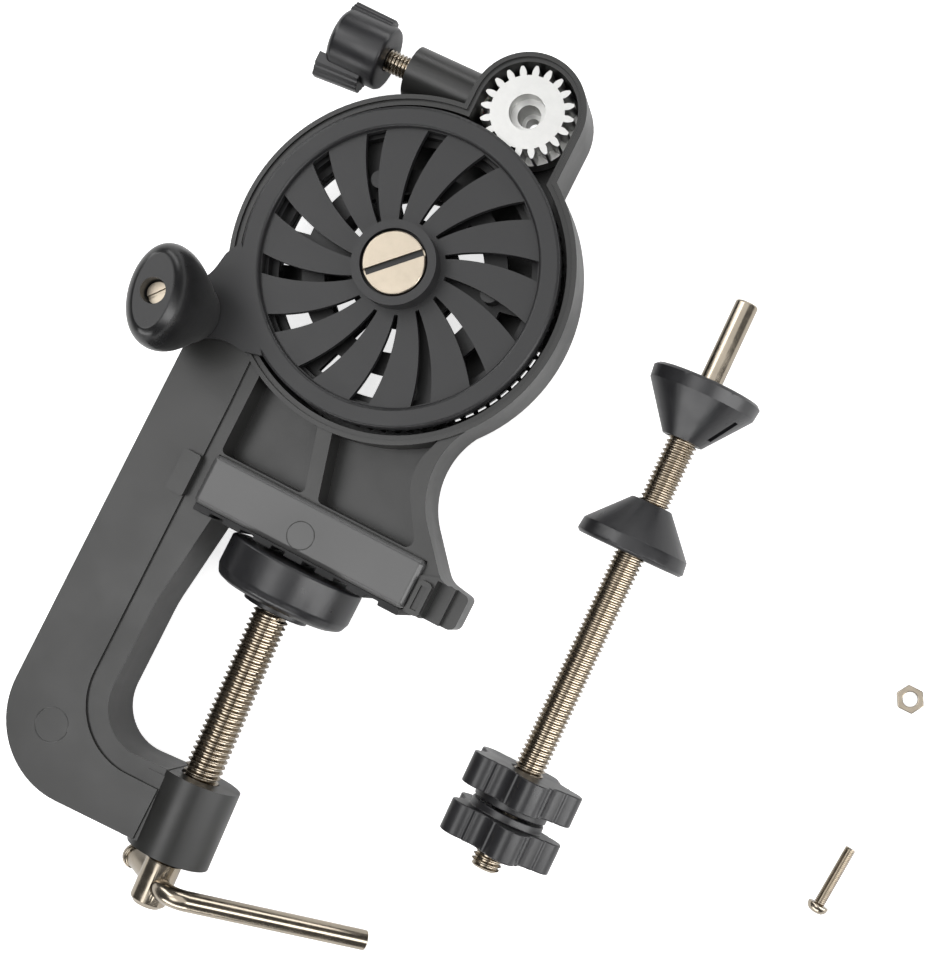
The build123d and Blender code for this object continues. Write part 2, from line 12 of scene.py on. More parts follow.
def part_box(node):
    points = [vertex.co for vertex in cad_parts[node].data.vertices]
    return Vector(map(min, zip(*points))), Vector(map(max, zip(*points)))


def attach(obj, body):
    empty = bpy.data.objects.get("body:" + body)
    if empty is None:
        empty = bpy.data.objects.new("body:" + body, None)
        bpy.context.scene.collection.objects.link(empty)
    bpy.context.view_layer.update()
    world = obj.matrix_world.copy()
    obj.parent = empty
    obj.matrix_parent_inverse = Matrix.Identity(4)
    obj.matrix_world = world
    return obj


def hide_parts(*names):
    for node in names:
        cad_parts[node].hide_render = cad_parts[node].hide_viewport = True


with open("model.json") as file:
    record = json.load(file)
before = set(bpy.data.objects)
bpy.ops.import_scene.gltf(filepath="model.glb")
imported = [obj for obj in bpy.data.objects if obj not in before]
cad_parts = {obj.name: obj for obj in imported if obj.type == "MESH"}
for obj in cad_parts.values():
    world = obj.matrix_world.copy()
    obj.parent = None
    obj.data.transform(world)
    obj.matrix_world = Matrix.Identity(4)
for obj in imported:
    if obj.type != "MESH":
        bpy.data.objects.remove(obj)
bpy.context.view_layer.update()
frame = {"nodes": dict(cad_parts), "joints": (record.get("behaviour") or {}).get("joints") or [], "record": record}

bl_info = {
    "name": "Table-clamp winder",
    "version": (1, 0, 0),
    "blender": (4, 5, 0),
    "location": "3D View > Sidebar > Winder",
    "description": "Builds the winder's finished pieces and its stage around the packed parts",
    "category": "Mesh",
}

MM = 0.001
RECORD = frame["record"]
JOINTS = {joint["name"]: joint for joint in frame["joints"]}
BODY_OF = {node: body for body, nodes in RECORD["behaviour"]["bodies"].items() for node in nodes}


def linear(hex_colour):
    """Linear RGB of an sRGB hex colour."""
    parts = [int(hex_colour[i:i + 2], 16) / 255 for i in (0, 2, 4)]
    return tuple(p / 12.92 if p <= 0.04045 else ((p + 0.055) / 1.055) ** 2.4 for p in parts)


# ---------------------------------------------------------------- properties
class WinderSizes(bpy.types.PropertyGroup):
    body_edge: FloatProperty(name="Body edge", description="Rounding of the body moulding's edges",
                             default=0.45 * MM, unit="LENGTH", subtype="DISTANCE")
    wheel_edge: FloatProperty(name="Wheel edge", description="Rounding of the crank wheel's edges",
                              default=0.3 * MM, unit="LENGTH", subtype="DISTANCE")
    blade_edge: FloatProperty(name="Blade edge", description="Rounding of the wheel's blades",
                              default=0.8 * MM, unit="LENGTH", subtype="DISTANCE")
    grip_edge: FloatProperty(name="Handle edge", description="Rounding of the crank handle's top",
                             default=2.4 * MM, unit="LENGTH", subtype="DISTANCE")
    knob_edge: FloatProperty(name="Knob edge", description="Rounding of the moulded knobs' edges",
                             default=0.7 * MM, unit="LENGTH", subtype="DISTANCE")
    gear_edge: FloatProperty(name="Gear edge", description="Deburred edge of the gears and metal parts",
                             default=0.12 * MM, unit="LENGTH", subtype="DISTANCE")
    screw_pitch: FloatProperty(name="Clamp screw pitch", description="Pitch of the M10 clamp screw",
                               default=1.5 * MM, unit="LENGTH", subtype="DISTANCE")
    rod_pitch: FloatProperty(name="Rod pitch", description="Pitch of the M8 spindle rod",
                             default=1.25 * MM, unit="LENGTH", subtype="DISTANCE")
    stud_pitch: FloatProperty(name="Stud pitch", description="Pitch of the M6 brake stud",
                              default=1.0 * MM, unit="LENGTH", subtype="DISTANCE")
    small_pitch: FloatProperty(name="Small screw pitch", description="Pitch of the loose M3 screw",
                               default=0.5 * MM, unit="LENGTH", subtype="DISTANCE")
    thread_sides: IntProperty(name="Thread sides", description="Flats round one turn of a thread",
                              default=32, min=12, max=64)


class WinderColours(bpy.types.PropertyGroup):
    body: FloatVectorProperty(name="Body", description="Glass-filled nylon of the body", size=3,
                              subtype="COLOR", default=linear("232322"))
    wheel: FloatVectorProperty(name="Wheel", description="ABS of the crank wheel", size=3,
                               subtype="COLOR", default=linear("262627"))
    knobs: FloatVectorProperty(name="Knobs", description="ABS of the knobs and cones", size=3,
                               subtype="COLOR", default=linear("202022"))
    grip: FloatVectorProperty(name="Handle", description="Soft skin of the crank handle", size=3,
                              subtype="COLOR", default=linear("171718"))
    # The jaw face colour is the body's nylon made lighter grey: a painted reflection.
    jaw: FloatVectorProperty(name="Jaw face", description="Greyer, glossier face of the fixed jaw",
                             size=3, subtype="COLOR", default=linear("505050"))
    gear: FloatVectorProperty(name="Drive gear", description="Acetal of the drive gear", size=3,
                              subtype="COLOR", default=linear("1d1d1e"))
    nickel: FloatVectorProperty(name="Nickel", description="Warm nickel plating", size=3,
                                subtype="COLOR", default=linear("a69c8d"))
    aluminium: FloatVectorProperty(name="Aluminium", description="Machined aluminium", size=3,
                                   subtype="COLOR", default=linear("c9c9c7"))


class WinderStage(bpy.types.PropertyGroup):
    camera_place: FloatVectorProperty(name="Camera place", description="Where the camera stands",
                                      size=3, subtype="XYZ", unit="LENGTH",
                                      default=(119.8 * MM, -40.8 * MM, 467.4 * MM))
    camera_turn: FloatVectorProperty(name="Camera turn", description="How the camera is turned",
                                     size=3, subtype="EULER", unit="ROTATION",
                                     default=(radians(4.713), radians(9.056), radians(27.183)))
    lens: FloatProperty(name="Lens", description="Focal length on a 36 mm sensor", default=68.42,
                        unit="CAMERA")
    sky: FloatProperty(name="Sky", description="Brightness of the surroundings", default=0.10)
    overhead: FloatProperty(name="Overhead light", description="Radiance of the broad light above",
                            default=1.15)
    front: FloatProperty(name="Front light", description="Radiance of the small light above the jaw",
                         default=2.6)
    side: FloatProperty(name="Side lights", description="Radiance of the strip lights at the sides",
                        default=4.5)
    paper: FloatProperty(name="Paper glow", description="Light coming up through the white paper",
                         default=0.75)
    floor_size: FloatProperty(name="Floor size", description="Side of the white sweep", default=4.0,
                              unit="LENGTH", subtype="DISTANCE")


# ---------------------------------------------------------------- materials
def add_node(tree, kind, inputs=None, **settings):
    """Adds one shader node; an input is a value or another node's output socket."""
    node = tree.nodes.new(kind)
    for key, value in settings.items():
        setattr(node, key, value)
    for key, value in (inputs or {}).items():
        if isinstance(value, bpy.types.NodeSocket):
            tree.links.new(value, node.inputs[key])
        else:
            node.inputs[key].default_value = value
    return node


def shaded(name, surface, **values):
    """A new material and its Principled shader, with the values set on the shader's own sockets."""
    made = bpy.data.materials.new(name)
    made.use_nodes = True
    tree = made.node_tree
    shader = tree.nodes["Principled BSDF"]
    for key, value in values.items():
        shader.inputs[key.replace("_", " ")].default_value = value
    surface(tree, shader)
    return made


def frequency(size_mm):
    """Texture scale on Object coordinates, in metres, that gives features of this size."""
    return 1.0 / (size_mm * MM)


def mottled(tree, shader, colour, spread, roughness, size_mm):
    """Slow variation of colour and roughness, as a handled surface has."""
    where = add_node(tree, "ShaderNodeTexCoord").outputs["Object"]
    cloud = add_node(tree, "ShaderNodeTexNoise", {"Vector": where, "Scale": frequency(size_mm),
                                                  "Detail": 4.0, "Roughness": 0.6})
    shade = add_node(tree, "ShaderNodeValToRGB", {"Fac": cloud.outputs["Fac"]})
    low, high = (tuple(c * f for c in colour[:3]) + (1.0,) for f in (1 - spread, 1 + spread))
    shade.color_ramp.elements[0].color, shade.color_ramp.elements[1].color = low, high
    shade.color_ramp.elements[0].position, shade.color_ramp.elements[1].position = 0.3, 0.7
    tree.links.new(shade.outputs["Color"], shader.inputs["Base Color"])
    rough = add_node(tree, "ShaderNodeMapRange", {"Value": cloud.outputs["Fac"], "From Min": 0.3,
                                                  "From Max": 0.7, "To Min": roughness[0],
                                                  "To Max": roughness[1]})
    tree.links.new(rough.outputs["Result"], shader.inputs["Roughness"])
    return where


def grained(tree, shader, where, grain_mm, depth_mm, strength=0.35):
    """Spark-eroded mould grain as a fine bump."""
    grain = add_node(tree, "ShaderNodeTexNoise", {"Vector": where, "Scale": frequency(grain_mm),
                                                  "Detail": 3.0, "Roughness": 0.7})
    bump = add_node(tree, "ShaderNodeBump", {"Height": grain.outputs["Fac"], "Strength": strength,
                                             "Distance": depth_mm * MM})
    tree.links.new(bump.outputs["Normal"], shader.inputs["Normal"])
    return bump


def nylon_body(colours):
    # Injection-moulded glass-filled nylon: satin, with a fine mould grain and faint flow mottling.
    # The grain is really about 0.15 mm across and is drawn at 0.5 mm so that it shows.
    def surface(tree, shader):
        where = mottled(tree, shader, colours.body, 0.10, (0.29, 0.37), 14.0)
        grained(tree, shader, where, 0.5, 0.025, 0.25)
    return shaded("glass_filled_nylon_moulded", surface, IOR=1.53)


def abs_wheel(colours):
    # Injection-moulded ABS, matt from a textured mould: dark, with a broad dull sheen.
    def surface(tree, shader):
        where = mottled(tree, shader, colours.wheel, 0.08, (0.36, 0.45), 11.0)
        grained(tree, shader, where, 0.45, 0.02, 0.3)
    return shaded("abs_moulded_matt", surface, IOR=1.52, Specular_IOR_Level=0.42)


def abs_knobs(colours):
    # Injection-moulded ABS from a bead-blasted mould: satin black with softer, brighter edges.
    def surface(tree, shader):
        where = mottled(tree, shader, colours.knobs, 0.10, (0.27, 0.35), 6.0)
        grained(tree, shader, where, 0.4, 0.015, 0.25)
    return shaded("abs_moulded_satin", surface, IOR=1.52)


def jaw_painted_reflection(colours):
    # The same nylon as the body, its base colour a lighter grey: a painted reflection of the studio.
    def surface(tree, shader):
        where = mottled(tree, shader, colours.jaw, 0.06, (0.30, 0.38), 12.0)
        grained(tree, shader, where, 0.9, 0.02, 0.15)
    return shaded("glass_filled_nylon_painted_reflection", surface, IOR=1.53)


def soft_skin(colours):
    # Thermoplastic elastomer moulded over the handle: rubbery, low broad highlights, a dusty sheen.
    def surface(tree, shader):
        where = mottled(tree, shader, colours.grip, 0.12, (0.26, 0.34), 8.0)
        grained(tree, shader, where, 0.6, 0.02, 0.2)
    return shaded("elastomer_overmoulded", surface, IOR=1.5, Sheen_Weight=0.06, Sheen_Roughness=0.4)


def acetal_gear(colours):
    # Injection-moulded acetal: slippery, a little waxy, darker than the housing round it.
    def surface(tree, shader):
        where = mottled(tree, shader, colours.gear, 0.06, (0.34, 0.44), 9.0)
        grained(tree, shader, where, 0.8, 0.01, 0.2)
    return shaded("acetal_moulded", surface, IOR=1.48)


def nitrile_pad(colours):
    # Compression-moulded nitrile rubber: dull black with a slight bloom.
    def surface(tree, shader):
        where = mottled(tree, shader, colours.grip, 0.15, (0.55, 0.68), 5.0)
        grained(tree, shader, where, 0.7, 0.03, 0.3)
    return shaded("nitrile_rubber_moulded", surface, IOR=1.52)


def nickel_turned(colours):
    # Steel, thread-rolled or turned and nickel-plated: warm, bright, with fine drawing marks.
    def surface(tree, shader):
        where = mottled(tree, shader, colours.nickel, 0.07, (0.15, 0.25), 3.0)
        grained(tree, shader, where, 0.35, 0.005, 0.2)
    return shaded("nickel_plated_steel", surface, Metallic=1.0)


def nickel_faced(colours):
    # Nickel-plated screw head, faced on a lathe then linished: fine parallel scratches.
    # The scratches are really a few hundredths of a millimetre apart, drawn at 0.25 mm.
    def surface(tree, shader):
        bright = tuple(1.18 * c for c in colours.nickel)
        where = mottled(tree, shader, bright, 0.06, (0.28, 0.38), 4.0)
        turned = add_node(tree, "ShaderNodeMapping", {"Vector": where, "Rotation": (0, 0, radians(-20)),
                                                      "Scale": (1.0, 0.06, 1.0)})
        lines = add_node(tree, "ShaderNodeTexNoise", {"Vector": turned.outputs["Vector"],
                                                      "Scale": frequency(0.25), "Detail": 2.0})
        bump = add_node(tree, "ShaderNodeBump", {"Height": lines.outputs["Fac"], "Strength": 0.35,
                                                 "Distance": 0.012 * MM})
        tree.links.new(bump.outputs["Normal"], shader.inputs["Normal"])
    return shaded("nickel_plated_steel_faced", surface, Metallic=1.0)


def aluminium_turned(colours, centre):
    # Aluminium bar, turned and hobbed: pale and matt, with rings from the facing tool 0.3 mm apart.
    def surface(tree, shader):
        mottled(tree, shader, colours.aluminium, 0.04, (0.34, 0.46), 2.5)
        where = add_node(tree, "ShaderNodeTexCoord").outputs["Object"]
        local = add_node(tree, "ShaderNodeMapping", {"Vector": where, "Location": -centre},
                         vector_type="POINT")
        rings = add_node(tree, "ShaderNodeTexWave", {"Vector": local.outputs["Vector"],
                                                     "Scale": frequency(0.3) / 20, "Distortion": 1.5,
                                                     "Detail": 2.0, "Detail Scale": 3.0},
                         wave_type="RINGS", rings_direction="Z")
        bump = add_node(tree, "ShaderNodeBump", {"Height": rings.outputs["Fac"], "Strength": 0.25,
                                                 "Distance": 0.02 * MM})
        tree.links.new(bump.outputs["Normal"], shader.inputs["Normal"])
    return shaded("aluminium_turned", surface, Metallic=1.0)


def brass_turned():
    # Turned brass inserts, knurled outside and mostly hidden in the mouldings.
    def surface(tree, shader):
        where = mottled(tree, shader, linear("c8a866"), 0.08, (0.28, 0.40), 3.0)
        grained(tree, shader, where, 0.3, 0.01, 0.3)
    return shaded("brass_turned", surface, Metallic=1.0)


def nylon_natural():
    # Unpigmented nylon: milky, slightly translucent, satin.
    def surface(tree, shader):
        where = mottled(tree, shader, linear("dedbd0"), 0.03, (0.38, 0.46), 4.0)
        grained(tree, shader, where, 0.5, 0.01, 0.2)
    return shaded("nylon_natural_moulded", surface, IOR=1.53, Subsurface_Weight=0.15,
                  Subsurface_Scale=1.5 * MM)


def paper_sweep(stage):
    # Matt white background paper; the glow keeps it white to the eye without lighting the object.
    def surface(tree, shader):
        shader.inputs["Emission Color"].default_value = (1, 1, 1, 1)
        seen = add_node(tree, "ShaderNodeLightPath").outputs["Is Camera Ray"]
        glow = add_node(tree, "ShaderNodeMath", {0: seen, 1: stage.paper}, operation="MULTIPLY")
        tree.links.new(glow.outputs["Value"], shader.inputs["Emission Strength"])
        where = mottled(tree, shader, linear("f7f7f7"), 0.004, (0.85, 0.95), 60.0)
        grained(tree, shader, where, 1.2, 0.02, 0.1)
    return shaded("paper_white_matt", surface)


MAKERS = {"body": nylon_body, "jaw": jaw_painted_reflection, "wheel": abs_wheel, "knobs": abs_knobs, "grip": soft_skin,
          "gear": acetal_gear, "rubber": nitrile_pad, "nickel": nickel_turned,
          "faced": nickel_faced}
made_materials = {}


def material(key, context):
    """The finish of that key, made once."""
    if key not in made_materials:
        colours = context.scene.winder_colours
        if key == "aluminium":
            low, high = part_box("pinion_gear")
            made_materials[key] = aluminium_turned(colours, (low + high) / 2)
        elif key in MAKERS:
            made_materials[key] = MAKERS[key](colours)
        elif key == "paper":
            made_materials[key] = paper_sweep(context.scene.winder_stage)
        else:
            made_materials[key] = {"brass": brass_turned, "nylon": nylon_natural}[key]()
    return made_materials[key]


# ---------------------------------------------------------------- mesh helpers
def joint_place(name, along=0.0):
    """Frame at a joint with +Y down its axis, moved `along` millimetres; built in millimetres."""
    joint = JOINTS[name]
    axis = Vector(joint["axis"]).normalized()
    turn = Vector((0, 1, 0)).rotation_difference(axis).to_matrix().to_4x4()
    start = Vector(joint["pos_m"]) + axis * along * MM
    return Matrix.Translation(start) @ turn @ Matrix.Scale(MM, 4)


def merged_copy(*names):
    """The CAD nodes' triangles, merged and with their flat faces whole, in metres."""
    bm = bmesh.new()
    for name in names:
        bm.from_mesh(frame["nodes"][name].data)
    bmesh.ops.remove_doubles(bm, verts=bm.verts, dist=2e-6)
    bmesh.ops.dissolve_limit(bm, angle_limit=radians(0.4), verts=bm.verts, edges=bm.edges)
    return bm


def soften(bm, width, angle=32.0, segments=2, chosen=None):
    """Rounds the edges that turn by more than `angle` degrees."""
    edges = [e for e in bm.edges if e.is_manifold and e.calc_face_angle(0) > radians(angle)
             and (chosen is None or chosen(e))]
    bmesh.ops.bevel(bm, geom=edges, offset=width, offset_type="OFFSET", segments=segments,
                    profile=0.5, affect="EDGES", clamp_overlap=True, material=-1)


def spun(bm, profile, sides=64, start=0.0):
    """Adds a turned shape about the local Y axis from (radius, y) points, in millimetres."""
    turn = Matrix.Rotation(start, 4, "Y")
    verts = [bm.verts.new(turn @ Vector((r, y, 0))) for r, y in profile]
    edges = [bm.edges.new(pair) for pair in zip(verts, verts[1:])]
    bmesh.ops.spin(bm, geom=verts + edges, cent=(0, 0, 0), axis=(0, 1, 0), dvec=(0, 0, 0),
                   angle=2 * pi, steps=sides, use_merge=True, use_duplicate=False)
    bmesh.ops.remove_doubles(bm, verts=bm.verts, dist=1e-4)


def threaded(bm, radius, pitch, low, high, sides, lead_in=0.8):
    """Adds a right-hand thread about the local Y axis, cut square at both ends, in millimetres."""
    part = bmesh.new()
    depth = 0.58 * pitch
    root = radius - depth
    turns = int((high - low) / pitch) + 3
    start = low - pitch
    profile = ((root, 0), (root, 0.205), (radius, 0.54), (radius, 0.665), (root, 1.0))
    verts = [part.verts.new((r, start + y * pitch, 0)) for r, y in profile]
    edges = [part.edges.new(pair) for pair in zip(verts, verts[1:])]
    bmesh.ops.spin(part, geom=verts + edges, cent=(0, 0, 0), axis=(0, 1, 0),
                   dvec=(0, pitch / sides, 0), angle=2 * pi * turns, steps=turns * sides,
                   use_duplicate=False)
    bmesh.ops.remove_doubles(part, verts=part.verts, dist=1e-4)
    for y, normal in ((low, (0, -1, 0)), (high, (0, 1, 0))):
        geom = part.verts[:] + part.edges[:] + part.faces[:]
        bmesh.ops.bisect_plane(part, geom=geom, dist=1e-6, plane_co=(0, y, 0), plane_no=normal,
                               clear_outer=True)
        rim = [e for e in part.edges if e.is_boundary and abs(e.verts[0].co.y - y) < 1e-3
               and abs(e.verts[1].co.y - y) < 1e-3]
        bmesh.ops.holes_fill(part, edges=rim, sides=0)
    for vert in part.verts:
        reach = radius - lead_in + min(vert.co.y - low, high - vert.co.y)
        across = Vector((vert.co.x, 0, vert.co.z))
        if across.length > max(reach, 0.1):
            across *= reach / across.length
            vert.co.x, vert.co.z = across.x, across.z
    bmesh.ops.recalc_face_normals(part, faces=part.faces)
    add_part(bm, part)


def add_part(bm, part):
    """Adds a finished shape to another one as its own shell."""
    mesh = bpy.data.meshes.new("part")
    part.to_mesh(mesh)
    part.free()
    bm.from_mesh(mesh)
    bpy.data.meshes.remove(mesh)


def moved(bm, place):
    bmesh.ops.transform(bm, matrix=place, verts=bm.verts)
    return bm


def carve(bm, cutter):
    """Cuts one closed shape out of another with an exact boolean."""
    meshes = []
    for shape in (bm, cutter):
        mesh = bpy.data.meshes.new("carve")
        shape.to_mesh(mesh)
        meshes.append(mesh)
    body, tool = (bpy.data.objects.new("carve", mesh) for mesh in meshes)
    for obj in (body, tool):
        bpy.context.scene.collection.objects.link(obj)
    step = body.modifiers.new("carve", "BOOLEAN")
    step.object, step.operation, step.solver = tool, "DIFFERENCE", "EXACT"
    result = bpy.data.meshes.new_from_object(body.evaluated_get(bpy.context.evaluated_depsgraph_get()))
    bm.clear()
    bm.from_mesh(result)
    cutter.free()
    for obj in (body, tool):
        bpy.data.objects.remove(obj)
    for mesh in meshes + [result]:
        bpy.data.meshes.remove(mesh)
    return bm


def boxed(x_range, y_range, z_range):
    """A closed box, in the shape's own units."""
    bm = bmesh.new()
    bmesh.ops.create_cube(bm, size=1.0)
    spans = (x_range, y_range, z_range)
    bmesh.ops.scale(bm, vec=[b - a for a, b in spans], verts=bm.verts)
    bmesh.ops.translate(bm, vec=[(a + b) / 2 for a, b in spans], verts=bm.verts)
    return bm


def piece(name, bm, finish, nodes, body=None, sharp=35.0, outward=False):
    """Makes the finished object, which rides with the body of the CAD nodes it stands for."""
    if outward:
        bmesh.ops.recalc_face_normals(bm, faces=bm.faces)
    for face in bm.faces:
        face.smooth = True
    for edge in bm.edges:
        edge.smooth = not edge.is_manifold or edge.calc_face_angle(0) < radians(sharp)
    mesh = bpy.data.meshes.new(name)
    bm.to_mesh(mesh)
    bm.free()
    mesh.materials.append(finish)
    obj = bpy.data.objects.new(name, mesh)
    bpy.context.scene.collection.objects.link(obj)
    flat = obj.modifiers.new("face_weighted_normals", "WEIGHTED_NORMAL")
    flat.mode, flat.keep_sharp = "FACE_AREA", True
    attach(obj, body or BODY_OF[nodes[0]])
    if nodes:
        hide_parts(*nodes)
    return obj


def dressed(finish, *names):
    """Gives CAD nodes whose shape is right their finish."""
    for name in names:
        slots = frame["nodes"][name].data.materials
        slots.clear()
        slots.append(finish)


# ---------------------------------------------------------------- body
STOP_RECESS = ((42.2, 43.9), (-75.2, -68.8), (21.1, 23.0))     # in the jaw's right-hand stop
WITNESS_MARKS = (("arm_pin_mark", (-27.7, -144.4), 4.5, 20.0),      # name, centre, radius, height
                 ("jaw_pin_mark", (9.0, -71.7), 3.6, 22.2))
WITNESS_SECTION = ((-0.16, -0.02), (-0.05, 0.06), (0.05, 0.06), (0.16, -0.02), (-0.16, -0.02))


class WINDER_OT_body(bpy.types.Operator):
    """Build the body moulding: gear case, clamp arm, jaw and grip strip"""
    bl_idname = "winder.body"
    bl_label = "Body"

    def execute(self, context):
        sizes = context.scene.winder_sizes
        plastic = material("body", context)
        case = merged_copy("gear_case")
        soften(case, sizes.body_edge)
        piece("case_moulding", case, plastic, ("gear_case",))
        arm = merged_copy("clamp_frame")
        carve(arm, moved(boxed(*STOP_RECESS), Matrix.Scale(MM, 4)))
        soften(arm, sizes.body_edge)
        piece("clamp_arm_moulding", arm, plastic, ("clamp_frame",))
        cover = merged_copy("jaw_cover")
        soften(cover, sizes.body_edge * 0.7, 20)
        # The jaw face gets the nylon with the painted reflection in its colour.
        piece("jaw_front", cover, material("jaw", context), ("jaw_cover",))
        strip = merged_copy("jaw_pad")
        soften(strip, sizes.wheel_edge)
        piece("jaw_grip", strip, material("rubber", context), ("jaw_pad",))
        for mark in WITNESS_MARKS:
            self.witness_mark(context, *mark)
        dressed(material("brass", context), "axle_insert", "pinion_bush", "clamp_nut")
        dressed(material("nylon", context), "thrust_washer")
        return {"FINISHED"}

    @staticmethod
    def witness_mark(context, name, centre, radius, height):
        """Thin raised ring left by an ejector pin."""
        bm = bmesh.new()
        spun(bm, [(radius + out, up) for out, up in WITNESS_SECTION], 48)
        lift = Matrix.Translation((centre[0] * MM, centre[1] * MM, height * MM))
        moved(bm, lift @ Matrix.Rotation(pi / 2, 4, "X") @ Matrix.Scale(MM, 4))
        piece(name, bm, material("body", context), (), "frame", outward=True)


# ---------------------------------------------------------------- crank wheel
SLOT_TURN = 44.0        # direction of the axle screw's slot, in degrees
SLOT_SHADOW = ((-7.7, 7.7), (-0.84, 0.84), (26.36, 26.7))      # painted shade: a dark sheet at the bottom of that slot
BLADE_TOP = 21.4 * MM
BLADE_REACH = (13.0 * MM, 35.3 * MM)


class WINDER_OT_wheel(bpy.types.Operator):
    """Build the crank wheel, the drive gear behind it and the slotted axle screw"""
    bl_idname = "winder.wheel"
    bl_label = "Crank wheel"

    def execute(self, context):
        sizes = context.scene.winder_sizes
        wheel = merged_copy("crank_wheel")
        soften(wheel, sizes.wheel_edge, chosen=lambda e: not self.on_blades(e))
        soften(wheel, sizes.blade_edge, segments=3, chosen=self.on_blades)
        piece("wheel_moulding", wheel, material("wheel", context), ("crank_wheel",))
        cap = merged_copy("axle_screw")
        soften(cap, sizes.gear_edge)
        piece("axle_cap_screw", cap, material("faced", context), ("axle_screw",))
        # The dark sheet in the slot's bottom is painted shade, not a part of the real screw.
        turned = Matrix.Rotation(radians(SLOT_TURN), 4, "Z") @ Matrix.Scale(MM, 4)
        floor = moved(boxed(*SLOT_SHADOW), turned)
        piece("axle_slot_shadow", floor, material("gear", context), (), BODY_OF["axle_screw"],
              outward=True)
        dressed(material("gear", context), "drive_gear")
        dressed(material("nickel", context), "gear_screws")
        dressed(material("brass", context), "wheel_bush")
        return {"FINISHED"}

    @staticmethod
    def on_blades(edge):
        """Whether the edge is a blade's, on the wheel's open face."""
        low, high = BLADE_REACH
        return all(abs(v.co.z - BLADE_TOP) < 1e-5 and low < v.co.xy.length < high for v in edge.verts)


# ---------------------------------------------------------------- crank handle
class WINDER_OT_handle(bpy.types.Operator):
    """Build the crank handle's soft oval knob and its slotted screw"""
    bl_idname = "winder.handle"
    bl_label = "Crank handle"

    def execute(self, context):
        sizes = context.scene.winder_sizes
        knob = merged_copy("handle_knob")
        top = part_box("handle_knob")[1].z
        soften(knob, sizes.grip_edge, 25, 6, self.around_top(top))
        piece("handle_grip", knob, material("grip", context), ("handle_knob",))
        screw = merged_copy("handle_screw")
        soften(screw, sizes.gear_edge)
        piece("handle_pivot_screw", screw, material("faced", context), ("handle_screw",))
        dressed(material("brass", context), "handle_insert")
        return {"FINISHED"}

    @staticmethod
    def around_top(height):
        """Picks the edges round the outside of the handle's top face."""
        middle = Vector(JOINTS["knob_spin"]["pos_m"]).xy

        def chosen(edge):
            return all(abs(v.co.z - height) < 1e-5 and (v.co.xy - middle).length > 4 * MM
                       for v in edge.verts)
        return chosen


# ---------------------------------------------------------------- pinion and brake
class WINDER_OT_pinion(bpy.types.Operator):
    """Build the aluminium pinion that drives the spindle"""
    bl_idname = "winder.pinion"
    bl_label = "Pinion"

    def execute(self, context):
        gear = merged_copy("pinion_gear")
        soften(gear, context.scene.winder_sizes.gear_edge)
        piece("pinion_hobbed", gear, material("aluminium", context), ("pinion_gear",))
        dressed(material("nickel", context), "pinion_clip")
        return {"FINISHED"}


# Knob of the brake: (radius, place) down the barrel from the screw's end, then its two wings as
# (far end, near end), reach at the far end and reach at the near end.
BARREL = ((3.1, -1.0), (3.1, -1.3), (3.6, -1.0), (7.4, -1.0), (8.2, -1.3), (8.6, -2.0), (8.6, -8.0),
          (8.6, -14.2), (8.3, -15.0), (7.4, -15.8), (5.4, -16.5), (2.8, -17.0), (0, -17.1))
UPPER_WING = ((-15.4, -3.4), 10.4, 10.1)
LOWER_WING = ((-17.8, -5.0), 12.1, 11.2)
WING_ROOT = 6.0
WING_STEPS = ((0.0, 3.9), (0.5, 3.8), (0.58, 3.0), (0.72, 2.9), (0.8, 2.1), (0.94, 1.9), (1.0, 1.2))
STUD_RADIUS = 3.0


class WINDER_OT_brake(bpy.types.Operator):
    """Build the winged brake screw and its plug"""
    bl_idname = "winder.brake"
    bl_label = "Brake screw"

    def execute(self, context):
        sizes = context.scene.winder_sizes
        place = joint_place("brake_turn")
        low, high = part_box("brake_stud")
        origin = place.translation.x
        stud = bmesh.new()
        threaded(stud, STUD_RADIUS, sizes.stud_pitch / MM, (low.x - origin) / MM,
                 (high.x - origin) / MM, sizes.thread_sides)
        moved(stud, place)
        piece("brake_stud_thread", stud, material("nickel", context), ("brake_stud",))

        knob = bmesh.new()
        barrel = bmesh.new()
        spun(barrel, BARREL, 72)
        bmesh.ops.recalc_face_normals(barrel, faces=barrel.faces)
        add_part(knob, barrel)
        add_part(knob, self.wing(*UPPER_WING))
        lower = self.wing(*LOWER_WING)
        bmesh.ops.rotate(lower, verts=lower.verts, cent=(0, 0, 0), matrix=Matrix.Rotation(pi, 3, "Y"))
        add_part(knob, lower)
        moved(knob, place)
        piece("wing_knob_moulding", knob, material("knobs", context), ("wing_knob",))
        dressed(material("nylon", context), "brake_plug")
        return {"FINISHED"}

    @staticmethod
    def wing(span, far_reach, near_reach):
        """Stepped wedge along the barrel, from its far end to its near end."""
        steps = [(part, -z) for part, z in WING_STEPS] + list(reversed(WING_STEPS))
        bm = bmesh.new()
        rings = [[bm.verts.new((-WING_ROOT - (reach - WING_ROOT) * part, y, z)) for part, z in steps]
                 for y, reach in zip(span, (far_reach, near_reach))]
        for index in range(len(steps)):
            after = (index + 1) % len(steps)
            bm.faces.new((rings[0][index], rings[0][after], rings[1][after], rings[1][index]))
        for ring in rings:
            bm.faces.new(ring)
        bmesh.ops.recalc_face_normals(bm, faces=bm.faces)
        bmesh.ops.bevel(bm, geom=[e for e in bm.edges if e.calc_face_angle(0) > radians(35)],
                        offset=0.2, offset_type="OFFSET", segments=2, profile=0.5, affect="EDGES",
                        clamp_overlap=True, material=-1)
        return bm


# ---------------------------------------------------------------- clamp screw
CLAMP_RADIUS = 5.0
CLAMP_HEAD_END = -12.6          # the plain head ends here, measured from the middle of the boss
CLAMP_THREAD = (-12.8, 57.0)
CLAMP_NECK = ((0, 56.8), (3.0, 56.8), (3.0, 62.0), (4.2, 62.3), (4.4, 63.0), (4.4, 65.0),
              (3.0, 66.5), (0, 66.5))


